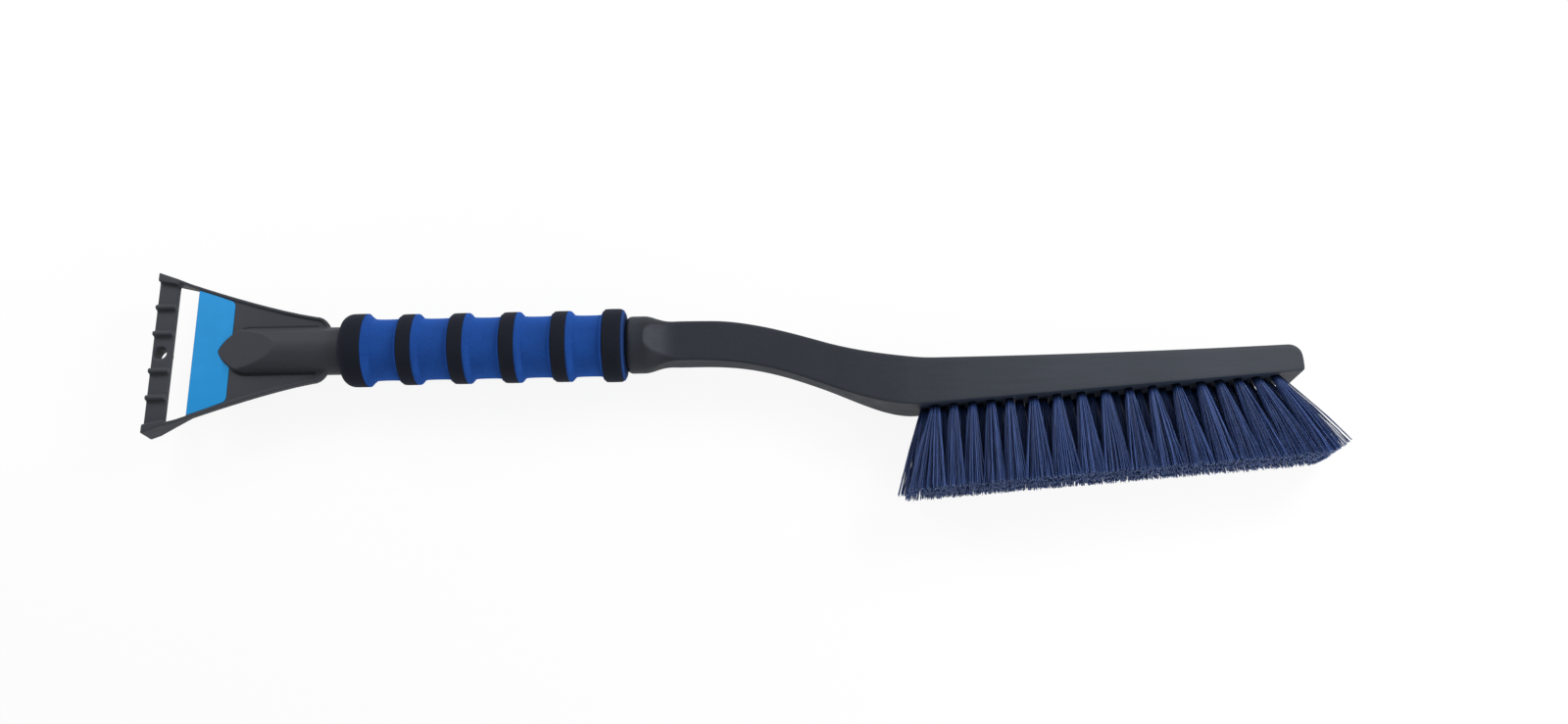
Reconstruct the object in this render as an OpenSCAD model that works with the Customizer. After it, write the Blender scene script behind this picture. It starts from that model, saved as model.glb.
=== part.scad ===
// Snow broom: an ice scraper head, a foam grip and a long brush on one handle.
//
// The broom is drawn along its handle. x runs from the scraper's front edge to the
// brush's toe, y points away from the bristles, and z = 0 lies on the grip's axis.
// place() then lays the broom on its side, with the middle of its box at the origin
// and its lowest point, the grip's end rings, at z = 0.
//
// The bristle deck is the brush block's sloping lower face. Its own frame has u along
// the face from heel to toe, v into the block and w across the block, as x, y and z.

/* [Grip] */
// Length of the foam grip
grip_length = 147.6; // [130:0.1:190]
// Diameter of the blue foam between the rings
foam_d = 32; // [29:0.2:35]
// Diameter of the four inner rings
ring_d = 37.2; // [36:0.2:40]
// Diameter of the two end rings
end_ring_d = 38.4; // [37:0.2:42]
// Width of the flat top of an inner ring
ring_land = 8; // [5:0.5:9]
// Length of the slope on each side of a ring
ring_slope = 2.4; // [1.5:0.1:4]
// Width of the black foam in an inner ring
ring_black = 7.8; // [6:0.1:9]
// Distance from the edge of an inner ring's black foam to its flat top
ring_lead = 1; // [0.8:0.1:1.8]
// Width of the black foam in the front end ring
front_black = 13; // [11:0.2:15]
// Length of the blue foam between the front end ring and the first inner ring
front_sleeve = 17.8; // [14:0.1:22]
// Width of the black foam in the rear end ring
rear_black = 9.8; // [9:0.1:14]
// Thickness of the blue disc that closes the grip's rear end
end_disc = 1.6; // [1.5:0.1:4]
// Length of the rounding at the grip's front end
front_round = 6.5; // [4:0.5:9]
// Length of the slope behind the front end ring
front_slope = 4; // [2:0.1:5]
// Length of the rounding at the grip's rear end
rear_round = 3.4; // [1:0.2:4]

/* [Handle core] */
// Diameter of the handle core under the foam
core_d = 22; // [21:0.5:24]
// Diameter of the spigot that plugs into the scraper's tube
spigot_d = 19; // [17:0.5:20]
// Diameter of the core's hollow
core_bore_d = 14; // [8:0.5:15]
// Gap all round between the spigot and the scraper's tube
spigot_fit = 0.1; // [0.05:0.05:0.3]
// Gap all round between the core and the foam
foam_fit = 0.1; // [0:0.05:0.3]

/* [Scraper head] */
// Length of the head, from its front edge to the grip
head_length = 99.6; // [97:0.2:115]
// Width of the blade's front edge
blade_width = 88; // [80:1:105]
// Depth of the blade bar, from front to back
blade_depth = 10.4; // [10.4:0.2:14]
// Length of the bevel under the blade's front edge
bevel_length = 0.8; // [0.4:0.1:0.8]
// Depth of the open slot behind the bar
slot_depth = 10.8; // [6:0.1:12]
// Thickness of the plate
plate_t = 3.2; // [2.6:0.1:4]
// Height of the plate's upper face above the grip's axis
plate_top = 3; // [2:0.2:4]
// Width of the rim along the plate's edge
rim_w = 1.6; // [1.4:0.1:2.6]
// Height of the rim above the plate
rim_h = 1; // [0.6:0.1:2]
// Depth of the side gussets under the plate, at the blade
gusset_drop = 8; // [2:0.5:9]
// Length of the side gussets
gusset_length = 24; // [18:1:50]
// Distance from the grip to the end of the plate's flare
flare_setback = 11.6; // [10:0.2:14]
// Distance from the grip to the start of the plate's rounded shoulders
shoulder_setback = 15.2; // [14:0.2:19]
// Half the plate's width where its flare ends
tail_half = 17.5; // [17:0.5:22]
// Radius of the plate's shoulders at the tube
shoulder_r = 8; // [5:0.5:10]
// Diameter of the tube between the plate and the grip
tube_d = 25; // [24.4:0.2:25.6]
// Length of the tube that stays round
tube_length = 33.2; // [28:0.2:40]
// Length of the slanting flat where the tube runs out into the plate
flat_length = 31.6; // [24:0.2:34]
// Length of the tube's pointed nose, seen from above
nose_length = 18; // [14:1:26]
// Width of an ice-breaking rib
rib_w = 2.8; // [1.6:0.1:3]
// Height of the ribs above the plate
rib_h = 2.8; // [1.6:0.1:4]
// Distance of the inner ribs from the middle
rib_offset = 10.2; // [7:0.2:12]
// Distance from an inner rib to the outer one
rib_spacing = 14.6; // [10:0.2:16]
// Width of the rib at each end of the blade, at its front
end_rib_w = 4.5; // [3:0.1:6]
// Diameter of the hanging hole
hole_d = 6.6; // [5:0.2:7.8]
// Wall between the hanging hole and the blade's front edge
hole_wall = 1; // [0.9:0.1:1.6]
// Depth of the collar round the hanging hole, at its front
collar_depth = 7.5; // [4:0.5:7.5]
// Depth it would have at the back of the bar, where it is cut back
collar_rear = 4; // [1:0.5:4]
// Wall of that collar
collar_wall = 0.8; // [0.6:0.1:0.8]
// Length of the label, along the handle
label_depth = 20; // [14:0.5:22]
// Thickness of the label
label_t = 0.3; // [0.2:0.1:0.6]
// Radius of the label's two rear corners
label_corner = 3; // [1:0.5:5]
// Gap between the label and what it lies beside
label_gap = 0.4; // [0.2:0.1:1]

/* [Brush body] */
// Length of the bare neck, from the grip to the brush's heel
neck_length = 139.2; // [120:0.1:160]
// Length of the brush block, from heel to toe
block_length = 208.4; // [190:0.2:230]
// Diameter of the round shoulder behind the grip
shoulder_d = 30; // [28:0.2:32]
// Length of the round shoulder
shoulder_length = 9.4; // [5:0.2:14]
// Length over which the shoulder runs out into the neck's flat sides
shoulder_runout = 19.6; // [12:0.2:24]
// Length of the straight neck before its bend
neck_straight = 15.2; // [14:0.2:24]
// Distance over which the neck thins to its waist
waist_length = 40; // [25:1:60]
// Distance over which the neck widens to the block
widen_length = 45; // [30:1:60]
// Height of the neck, as the broom is held
neck_height = 21.8; // [18:0.2:24]
// Thickness of the neck at the shoulder
neck_root_t = 14.6; // [12:0.2:17]
// Thickness of the neck at its waist
neck_waist_t = 12; // [10:0.5:14]
// How far the block's back lies below the grip's axis
back_drop = 13.3; // [8:0.1:18]
// How much the block's back rises again towards the toe
back_rise = 3.4; // [0:0.2:5]
// Width of the brush block
block_width = 25; // [23:0.5:30]
// Height of the brush block at the heel
heel_height = 25.2; // [21:0.2:28]
// Height of the brush block at the toe
toe_height = 14.8; // [13:0.2:18]
// Distance from the heel to the start of the flat bristle deck
heel_round = 10; // [8:1:14]
// Radius of the toe's upper corner
toe_round = 7; // [2:0.5:8]
// Rounding of the neck's and block's upper edges
upper_edge_r = 2.6; // [1:0.2:3.4]
// Rounding of their lower edges
lower_edge_r = 1.2; // [0.6:0.1:2]

/* [Bristles] */
// Height of the trimmed bristles below the deck
bristle_length = 44.4; // [36:0.1:56]
// Diameter of a tuft where it leaves the block
tuft_d = 4; // [3.6:0.1:4.2]
// Distance between tufts near the heel and the toe
close_pitch = 9.5; // [9.4:0.1:10.5]
// Distance from the deck's heel end to the first outer tuft
heel_margin = 9.7; // [8:0.1:14]
// Distance from the last tuft to the toe
toe_margin = 15; // [8:0.1:20]
// Distance between the three rows, at the deck
row_pitch = 6.3; // [5:0.1:6.6]
// Distance between the three rows, at the tips
tip_row_pitch = 10.5; // [9:0.1:14]
// Lean of the heel tufts, negative away from the toe
heel_lean = -8; // [-10:1:5]
// How far the tufts turn towards the toe, spread evenly over the brush
lean_turn = 14; // [4:1:16]
// How much more the last few tufts turn
toe_turn = 20; // [0:1:20]
// How much further the heel's end tufts fan out than the others
heel_flare = 3.2; // [1:0.1:3.4]
// How much further the toe's end tufts fan out than the others
toe_flare = 2.3; // [1:0.1:2.6]
// Thickness of a strand at the deck
strand_root_d = 0.9; // [0.6:0.1:1]
// Thickness of a strand at its tip
strand_tip_d = 2; // [1:0.1:2.4]
// Thickness of the deck slice that each group of tufts stands in
deck_t = 2; // [1.5:0.1:3]
// Depth of the tuft's foot in its hole, below the deck slice
foot_depth = 5.5; // [4:0.1:6]
// Depth of the wire anchor that holds a tuft
anchor_depth = 2; // [1:0.1:2.5]
// Thickness of the wire anchor
anchor_t = 0.5; // [0.3:0.1:0.8]
// Gap all round between a tuft's foot and its hole
foot_fit = 0.1; // [0.05:0.05:0.2]

/* [Hidden] */
TUFT_GROUPS = 17;
INNER_RINGS = 4;
CLOSE_STEPS = 4;
STRANDS_ROUND = 8;
$fn = 64;

PLASTIC = [0.27, 0.28, 0.31];
BLACK_FOAM = [0.13, 0.13, 0.15];
BLUE_FOAM = [0.11, 0.27, 0.62];
LABEL_BLUE = [0.18, 0.61, 0.87];
BRISTLE_BLUE = [0.19, 0.27, 0.45];
WIRE = [0.72, 0.72, 0.70];

// Stations along the handle
grip_x0 = head_length;
grip_x1 = grip_x0 + grip_length;
heel_x = grip_x1 + neck_length;
toe_x = heel_x + block_length;

// Foam grip
foam_r = foam_d / 2;
ring_r = ring_d / 2;
end_r = end_ring_d / 2;
core_r = core_d / 2;
foam_bore_r = core_r + foam_fit;
rear_lead = 0.8;
front_face_r = tube_d / 2 + 0.5;
rear_face_r = end_r - 4.2;
round_steps = 5;
rear_start = grip_length - end_disc - rear_black;
first_ring = front_black + front_sleeve;
ring_pitch = (rear_start - first_ring) / INNER_RINGS;

// Scraper head
tube_r = tube_d / 2;
plate_base = plate_top - plate_t;
flare_length = head_length - flare_setback;
flare_power = 1.25;
nose_power = 1.5;
shoulder_x = head_length - shoulder_setback;
slot_end = blade_depth + slot_depth;
flat_x = head_length - tube_length;
tip_x = flat_x - flat_length;
spigot_length = tube_length - 1;
spigot_end_gap = 0.5;
hole_x = hole_wall + hole_d / 2;

// Brush body
shoulder_round = shoulder_d / 2;
shoulder_edge = 3.4;
runout_x0 = grip_x1 + shoulder_length;
runout_x1 = runout_x0 + shoulder_runout;
sweep_x0 = runout_x1 + neck_straight;
sweep_x1 = heel_x + 20;
deck_x0 = heel_x + heel_round;
belly_x0 = sweep_x0 - 13;
belly_power = 1.35;
heel_y = -back_drop - heel_height;
toe_y = -back_drop + back_rise - toe_height;
widen_x1 = heel_x + 8;
widen_x0 = widen_x1 - widen_length;
waist_x0 = runout_x1;
waist_x1 = runout_x1 + waist_length;
core_overlap = 8;
corner_steps = 5;

// Bristle deck
deck_slope = atan((toe_y - heel_y) / (toe_x - deck_x0));
deck_length = (toe_x - deck_x0) / cos(deck_slope);
far_pitch = (deck_length - heel_margin - toe_margin - 2 * CLOSE_STEPS * close_pitch)
    / (TUFT_GROUPS - 1 - 2 * CLOSE_STEPS);
outer_u = [for (i = [0:TUFT_GROUPS - 1]) heel_margin + close_pitch
    * (min(i, CLOSE_STEPS) + max(0, i - (TUFT_GROUPS - 1 - CLOSE_STEPS)))
    + far_pitch * max(0, min(i, TUFT_GROUPS - 1 - CLOSE_STEPS) - CLOSE_STEPS)];
middle_u = [for (i = [0:TUFT_GROUPS - 1])
    i == 0 ? outer_u[0] - close_pitch / 2 : (outer_u[i - 1] + outer_u[i]) / 2];
slice_margin = tuft_d / 2 + 0.4;
slice_u = [for (i = [0:TUFT_GROUPS])
    i < TUFT_GROUPS ? middle_u[i] - slice_margin : outer_u[i - 1] + slice_margin];
deck_half = row_pitch + tuft_d / 2 + 1.2;
slice_gap = 0.1;
hole_depth = deck_t + foot_depth + anchor_depth + 0.5;
toe_power = 8;
strand_gap = 0.3;
longest_strand = bristle_length * 1.06;
strand_root_r = strand_root_d / 2;
strand_tip_r = strand_tip_d / 2;
root_ring_r = tuft_d / 2 - strand_root_r - 0.05;
fan_w = tip_row_pitch / 2 - strand_tip_r - strand_gap / 2;
strand_sink = 0.8;

function mix(a, b, t) = a + (b - a) * t;
function clamp(t) = min(1, max(0, t));
function ease(t) = let (c = clamp(t)) c * c * (3 - 2 * c);

// ---- Foam grip -------------------------------------------------------------

// Where inner ring i starts; the rear end ring stands in for the ring after the last
function ring_start(i) = first_ring + (i - 1) * ring_pitch;

// The grip's outline as [distance from its front end, radius], from front to rear
foam_outline = concat(
    [for (k = [0:round_steps]) let (t = k / round_steps)
        [front_round * t, mix(front_face_r, end_r, sqrt(1 - pow(1 - t, 2)))]],
    [[front_black, end_r], [front_black + front_slope, foam_r]],
    [for (i = [1:INNER_RINGS]) each let (s = ring_start(i) + ring_lead)
        [[s - ring_slope, foam_r], [s, ring_r],
         [s + ring_land, ring_r], [s + ring_land + ring_slope, foam_r]]],
    [[rear_start + rear_lead - ring_slope, foam_r], [rear_start + rear_lead, end_r]],
    [for (k = [0:round_steps]) let (a = 90 * k / round_steps)
        [grip_length - rear_round * (1 - sin(a)), mix(rear_face_r, end_r, cos(a))]]);

// One layer of the foam, from station a to station b along the grip
module foam_layer(a, b) {
    inner = [for (p = foam_outline) if (p[0] > a + 0.01 && p[0] < b - 0.01) p];
    edge = concat([[a, lookup(a, foam_outline)]], inner, [[b, lookup(b, foam_outline)]]);
    translate([grip_x0, 0, 0])
        rotate([0, 90, 0])
            rotate_extrude()
                polygon(concat([[foam_bore_r, a]], [for (p = edge) [p[1], p[0]]],
                    [[foam_bore_r, b]]));
}

module front_end_ring() {
    color(BLACK_FOAM) foam_layer(0, front_black);
}

module rear_end_ring() {
    color(BLACK_FOAM) foam_layer(rear_start, rear_start + rear_black);
}

module grip_end_disc() {
    color(BLUE_FOAM) foam_layer(rear_start + rear_black, grip_length);
}

module grip_ring(i) {
    color(BLACK_FOAM) foam_layer(ring_start(i), ring_start(i) + ring_black);
}

module grip_sleeve(i) {
    start = i == 1 ? front_black : ring_start(i - 1) + ring_black;
    color(BLUE_FOAM) foam_layer(start, ring_start(i));
}

// ---- Scraper head ----------------------------------------------------------

function half_width(x) = tail_half
    + (blade_width / 2 - tail_half) * pow(max(0, 1 - x / flare_length), flare_power);

// Extra width of the end ribs, which run out at the slot's far side
function end_rib(x) = max(0, end_rib_w - rim_w) * clamp(1 - x / slot_end);

// One side of the plate's outline, drawn in from the edge by inset
function plate_side(inset, start, ribbed) = concat(
    [for (k = [0:10]) let (x = mix(start, shoulder_x, k / 10))
        [x, half_width(max(0, x)) - inset - (ribbed ? end_rib(max(0, x)) : 0)]],
    [for (a = [75:-15:0]) [shoulder_x + (shoulder_r - inset) * cos(a),
        half_width(shoulder_x) - shoulder_r + (shoulder_r - inset) * sin(a)]]);

function both_sides(side) = concat(side,
    [for (k = [len(side) - 1:-1:0]) [side[k][0], -side[k][1]]]);

// The tube's plan outline, with its pointed nose, grown by gap
function nose_side(gap) = concat(
    [for (a = [0:10:90]) [tip_x - gap + nose_length * (1 - cos(a)),
        (tube_r + gap) * pow(sin(a), nose_power)]],
    [[head_length, tube_r + gap]]);

module slab(z0, z1) {
    translate([0, 0, z0]) linear_extrude(height = z1 - z0) children();
}

// Draws a side view, x and z, as a slab as wide as the blade
module side_slab() {
    rotate([90, 0, 0])
        linear_extrude(height = blade_width + 20, center = true) children();
}

module plate() {
    difference() {
        slab(plate_base, plate_top) polygon(both_sides(plate_side(0, 0, false)));
        side_slab() polygon([[-1, plate_base - 1], [bevel_length, plate_base - 1],
            [bevel_length, plate_base], [0, plate_base + plate_t / 2],
            [-1, plate_base + plate_t / 2]]);
    }
}

// The wall that stands along both side edges, between two heights
module side_wall(z0, z1, ribbed) {
    difference() {
        slab(z0, z1) polygon(both_sides(plate_side(0, 0, false)));
        slab(z0 - 1, z1 + 1) polygon(both_sides(plate_side(rim_w, -1, ribbed)));
    }
}

module rims() {
    side_wall(plate_base, plate_top + rim_h, false);
    intersection() {
        side_wall(plate_base, plate_top + rib_h, true);
        side_slab() polygon([[0, plate_base], [0, plate_top + rib_h],
            [blade_depth, plate_top + rib_h], [slot_end, plate_top], [slot_end, plate_base]]);
    }
}

module gussets() {
    intersection() {
        side_wall(plate_base - gusset_drop, plate_base + 1, false);
        side_slab() polygon([[0, plate_base + 1], [0, plate_base - gusset_drop + bevel_length],
            [bevel_length, plate_base - gusset_drop], [blade_depth / 2, plate_base - gusset_drop],
            [gusset_length, plate_base], [gusset_length, plate_base + 1]]);
    }
}

module ribs() {
    crest = rib_h - rib_w / 2;
    for (y = [-rib_offset - rib_spacing, -rib_offset, rib_offset, rib_offset + rib_spacing])
        translate([0, y, plate_top - 1])
            rotate([90, 0, 90])
                linear_extrude(height = blade_depth)
                    union() {
                        translate([-rib_w / 2, 0]) square([rib_w, crest + 1]);
                        translate([0, crest + 1]) circle(r = rib_w / 2);
                    }
}

// The collar hangs under the bar, round the hanging hole, and is cut back behind it
module collar() {
    intersection() {
        translate([hole_x, 0, plate_base - collar_depth])
            cylinder(r = hole_d / 2 + collar_wall, h = collar_depth + 1);
        side_slab() polygon([[0, plate_base + 1], [0, plate_base - collar_depth - 1],
            [hole_wall, plate_base - collar_depth], [blade_depth, plate_base - collar_rear],
            [blade_depth, plate_base + 1]]);
    }
}

// The round tube, its slanting flats above and below, and its pointed nose
module tube() {
    high = tube_r + 1;
    intersection() {
        translate([tip_x, 0, 0])
            rotate([0, 90, 0])
                cylinder(r = tube_r, h = head_length - tip_x);
        side_slab() polygon([[tip_x, plate_top], [flat_x, tube_r], [flat_x, high],
            [head_length, high], [head_length, -high], [flat_x, -high], [flat_x, -tube_r],
            [tip_x, plate_base]]);
        slab(-high, high) polygon(both_sides(nose_side(0)));
    }
}

function slot_side() = let (half = half_width(blade_depth) - rim_w)
    [[blade_depth, half - 2], [blade_depth + 0.6, half - 0.6],
     [blade_depth + 2, half_width(blade_depth + 2) - rim_w],
     [slot_end, half_width(slot_end) - rim_w]];

module scraper_head() {
    color(PLASTIC) difference() {
        union() {
            plate();
            rims();
            gussets();
            ribs();
            collar();
            tube();
        }
        slab(plate_base - gusset_drop - 1, plate_top + rib_h + 1)
            polygon(both_sides(slot_side()));
        translate([hole_x, 0, plate_base - collar_depth - 1])
            cylinder(r = hole_d / 2, h = collar_depth + plate_t + 2);
        translate([head_length - spigot_length - spigot_end_gap, 0, 0])
            rotate([0, 90, 0])
                cylinder(r = spigot_d / 2 + spigot_fit,
                    h = spigot_length + spigot_end_gap + 1);
    }
}

// The label lies on the plate between the rims, and is cut out round the tube's nose
function label_side() =
    let (inset = rim_w + label_gap, x0 = slot_end + label_gap, x1 = slot_end + label_depth)
    concat(
        [[x0, half_width(x0) - inset],
         [(x0 + x1) / 2, half_width((x0 + x1) / 2) - inset]],
        [for (a = [75:-15:0]) [x1 - label_corner * (1 - cos(a)),
            half_width(x1 - label_corner / 2) - inset - label_corner * (1 - sin(a))]]);

module label() {
    color(LABEL_BLUE) difference() {
        slab(plate_top, plate_top + label_t) polygon(both_sides(label_side()));
        slab(plate_top - 1, plate_top + label_t + 1) polygon(both_sides(nose_side(label_gap)));
    }
}

// ---- Brush body ------------------------------------------------------------

// Upper and lower edges of the neck and block, as the broom is held
function back_y(x) =
    let (past_round = max(0, x - toe_x + toe_round))
    mix(neck_height / 2, -back_drop, ease((x - sweep_x0) / (sweep_x1 - sweep_x0)))
    + back_rise * pow(clamp((x - sweep_x1) / (toe_x - sweep_x1)), 2)
    - toe_round + sqrt(max(0, pow(toe_round, 2) - pow(past_round, 2)));

function belly_y(x) = x < deck_x0
    ? mix(-neck_height / 2, heel_y,
        ease(pow(clamp((x - belly_x0) / (deck_x0 - belly_x0)), belly_power)))
    : mix(heel_y, toe_y, (x - deck_x0) / (toe_x - deck_x0));

// Half the thickness across the neck and block
function half_t(x) = mix(
    mix(neck_root_t, neck_waist_t, ease((x - waist_x0) / (waist_x1 - waist_x0))),
    block_width, ease((x - widen_x0) / (widen_x1 - widen_x0))) / 2;

// Radius of the round shoulder, which runs out into the neck
function round_r(x) =
    let (t = clamp((x - grip_x1) / shoulder_edge))
    mix(shoulder_round, neck_height / 2, ease((x - runout_x0) / shoulder_runout))
    - shoulder_edge * (1 - sqrt(1 - pow(1 - t, 2)));

// A quarter of the shoulder's round section, cut by the sloping flat side
function round_corner(x) =
    let (r = round_r(x),
        flat_z = mix(shoulder_round, neck_root_t / 2, clamp((x - runout_x0) / shoulder_runout)),
        a0 = acos(min(0.995, flat_z / r)))
    [for (k = [0:corner_steps]) let (a = mix(a0, 84, k / corner_steps)) [r * sin(a), r * cos(a)]];

// A quarter of the neck's rounded rectangular section
function flat_corner(x, edge_r) =
    let (half_y = (back_y(x) - belly_y(x)) / 2)
    [for (k = [0:corner_steps]) let (a = 90 * k / corner_steps)
        [half_y - edge_r + edge_r * sin(a), half_t(x) - edge_r + edge_r * cos(a)]];

function section_corner(x, edge_r) =
    let (t = ease((x - runout_x0) / shoulder_runout), a = round_corner(x), b = flat_corner(x, edge_r))
    [for (k = [0:corner_steps]) mix(a[k], b[k], t)];

// One closed section of the body, as points round the handle
function section(x) =
    let (y = (back_y(x) + belly_y(x)) / 2,
        upper = section_corner(x, upper_edge_r),
        lower = section_corner(x, lower_edge_r),
        n = corner_steps)
    concat(
        [for (k = [0:n]) [x, y + upper[k][0], upper[k][1]]],
        [for (k = [n:-1:0]) [x, y + upper[k][0], -upper[k][1]]],
        [for (k = [0:n]) [x, y - lower[k][0], -lower[k][1]]],
        [for (k = [n:-1:0]) [x, y - lower[k][0], lower[k][1]]]);

function spaced(a, b, n) = [for (k = [0:n - 1]) mix(a, b, k / n)];

body_x = concat(
    [for (a = [0:30:90]) grip_x1 + shoulder_edge * (1 - cos(a))],
    [grip_x1 + (shoulder_edge + shoulder_length) / 2],
    spaced(runout_x0, runout_x1, 8),
    spaced(runout_x1, sweep_x1, 18),
    spaced(sweep_x1, toe_x - toe_round, 8),
    [for (a = [0:15:90]) toe_x - toe_round * (1 - sin(a))]);

// A solid through a row of closed sections with equal numbers of points
module loft(sections) {
    n = len(sections[0]);
    last = len(sections) - 1;
    points = [for (s = sections) each s];
    sides = [for (i = [0:last - 1], k = [0:n - 1])
        let (a = i * n + k, b = i * n + (k + 1) % n)
        each [[a, b + n, a + n], [a, b, b + n]]];
    front_cap = [for (k = [1:n - 2]) [0, k + 1, k]];
    rear_cap = [for (k = [1:n - 2]) [last * n, last * n + k, last * n + k + 1]];
    polyhedron(points = points, faces = concat(front_cap, sides, rear_cap));
}

module handle_rod(x0, x1, r) {
    translate([x0, 0, 0]) rotate([0, 90, 0]) cylinder(r = r, h = x1 - x0);
}

// Draws its children in the frame of the bristle deck
module on_deck() {
    translate([deck_x0, heel_y, 0]) rotate([0, 0, deck_slope]) children();
}

// Calls its children once for each tuft of group i, at the middle of its foot
module at_tufts(i) {
    for (row = [-1:1])
        translate([row == 0 ? middle_u[i] : outer_u[i], 0, row * row_pitch])
            rotate([-90, 0, 0]) children();
}

module brush_body() {
    color(PLASTIC) difference() {
        union() {
            loft([for (x = body_x) section(x)]);
            handle_rod(grip_x0, grip_x1 + core_overlap, core_r);
            handle_rod(grip_x0 - spigot_length, grip_x0 + 1, spigot_d / 2);
        }
        handle_rod(grip_x0 - spigot_length - 1, grip_x1, core_bore_d / 2);
        on_deck() {
            translate([slice_u[0], -1, -deck_half])
                cube([slice_u[TUFT_GROUPS] - slice_u[0], deck_t + 1, 2 * deck_half]);
            for (i = [0:TUFT_GROUPS - 1])
                at_tufts(i) cylinder(r = tuft_d / 2 + foot_fit, h = hole_depth);
        }
    }
}

// ---- Bristles --------------------------------------------------------------

// Lean of a tuft from the deck's normal: small along most of the brush, steep at the toe
function lean(u) =
    let (t = clamp((u - outer_u[0]) / (outer_u[TUFT_GROUPS - 1] - outer_u[0])))
    heel_lean + lean_turn * t + toe_turn * pow(t, toe_power);

function tip_u(u) = u + bristle_length * tan(lean(u));

// Half the width that a tuft fans out to at its tips, so that it stays clear of both neighbours
function fan_u(list, i) =
    let (last = len(list) - 1,
        before = i > 0 ? tip_u(list[i]) - tip_u(list[i - 1]) : tip_u(list[1]) - tip_u(list[0]),
        after = i < last ? tip_u(list[i + 1]) - tip_u(list[i]) : before)
    min(before, after) / 2 - strand_tip_r - strand_gap / 2;

// Where strand k starts, and where it ends once trimmed to the brush's outline
function strand_root(u, w, k) = k == 0 ? [u, 0, w]
    : [u + root_ring_r * cos(360 * k / STRANDS_ROUND), 0,
       w + root_ring_r * sin(360 * k / STRANDS_ROUND)];

function strand_tip(list, i, row, k) =
    let (u = list[i],
        c = k == 0 ? 0 : cos(360 * k / STRANDS_ROUND),
        s = k == 0 ? 0 : sin(360 * k / STRANDS_ROUND),
        flare = i == 0 && c < 0 ? heel_flare : i == len(list) - 1 && c > 0 ? toe_flare : 1,
        root = strand_root(u, row * row_pitch, k),
        tip = [tip_u(u) + fan_u(list, i) * c * flare, -bristle_length,
            row * tip_row_pitch + fan_w * s],
        way = tip - root)
    root + way * min(1, longest_strand / norm(way));

// The three corners of a strand, round a point
function strand_ring(p, r) = [for (a = [90, 210, 330]) p + [r * cos(a), 0, r * sin(a)]];

function strand_points(i, row, k) =
    let (list = row == 0 ? middle_u : outer_u,
        root = strand_root(list[i], row * row_pitch, k),
        tip = strand_tip(list, i, row, k),
        sunk = root + (root - tip) * strand_sink / (root - tip)[1])
    concat(strand_ring(sunk, strand_root_r), strand_ring(tip, strand_tip_r));

strand_faces = [[0, 1, 2], [5, 4, 3], [0, 3, 4, 1], [1, 4, 5, 2], [2, 5, 3, 0]];

module tuft(i, row) {
    polyhedron(
        points = [for (k = [0:STRANDS_ROUND]) each strand_points(i, row, k)],
        faces = [for (k = [0:STRANDS_ROUND], f = strand_faces) [for (p = f) 6 * k + p]]);
}

// One group of three tufts, in the slice of the deck that it stands in
module bristle_tufts(i) {
    color(BRISTLE_BLUE) on_deck() {
        translate([slice_u[i], 0, slice_gap - deck_half])
            cube([slice_u[i + 1] - slice_u[i], deck_t, 2 * (deck_half - slice_gap)]);
        at_tufts(i) translate([0, 0, deck_t / 2])
            cylinder(r = tuft_d / 2, h = deck_t / 2 + foot_depth);
        for (row = [-1:1]) tuft(i, row);
    }
}

// A flat wire anchor sits across each hole, on the foot of its tuft
module tuft_anchors() {
    color(WIRE) on_deck()
        for (i = [0:TUFT_GROUPS - 1])
            at_tufts(i) translate([-anchor_t / 2, -tuft_d / 2, deck_t + foot_depth])
                cube([anchor_t, tuft_d, anchor_depth]);
}

// ---- Placing ---------------------------------------------------------------

function off_deck(p) = [
    deck_x0 + p[0] * cos(deck_slope) - p[1] * sin(deck_slope),
    heel_y + p[0] * sin(deck_slope) + p[1] * cos(deck_slope)];

strand_ends = [for (i = [0:TUFT_GROUPS - 1], row = [-1:1], k = [0:STRANDS_ROUND],
    p = strand_points(i, row, k)) off_deck(p)];
reach_x = max([for (p = strand_ends) p[0]]);
reach_y = min([for (p = strand_ends) p[1]]);

module place() {
    translate([-max(reach_x, toe_x) / 2, -(blade_width / 2 + reach_y) / 2, end_r]) children();
}

place() scraper_head();
place() label();
place() brush_body();
place() tuft_anchors();
place() front_end_ring();
place() rear_end_ring();
place() grip_end_disc();
for (i = [1:INNER_RINGS])
    place() grip_ring(i);
for (i = [1:INNER_RINGS + 1])
    place() grip_sleeve(i);
for (i = [1:TUFT_GROUPS])
    place() bristle_tufts(i - 1);
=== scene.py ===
# %% [markdown]
# # A snow broom, dressed for the studio
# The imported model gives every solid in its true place. This script keeps those places and
# gives each piece the surface of the real thing: moulded plastic with soft edges, a glued
# foam grip, and tufts of fine trimmed filament. We measure the model first, so that each
# new piece is drawn where the solid it stands for lies.

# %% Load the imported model
import math

import bpy
import numpy as np
from mathutils import Matrix, Vector


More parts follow.
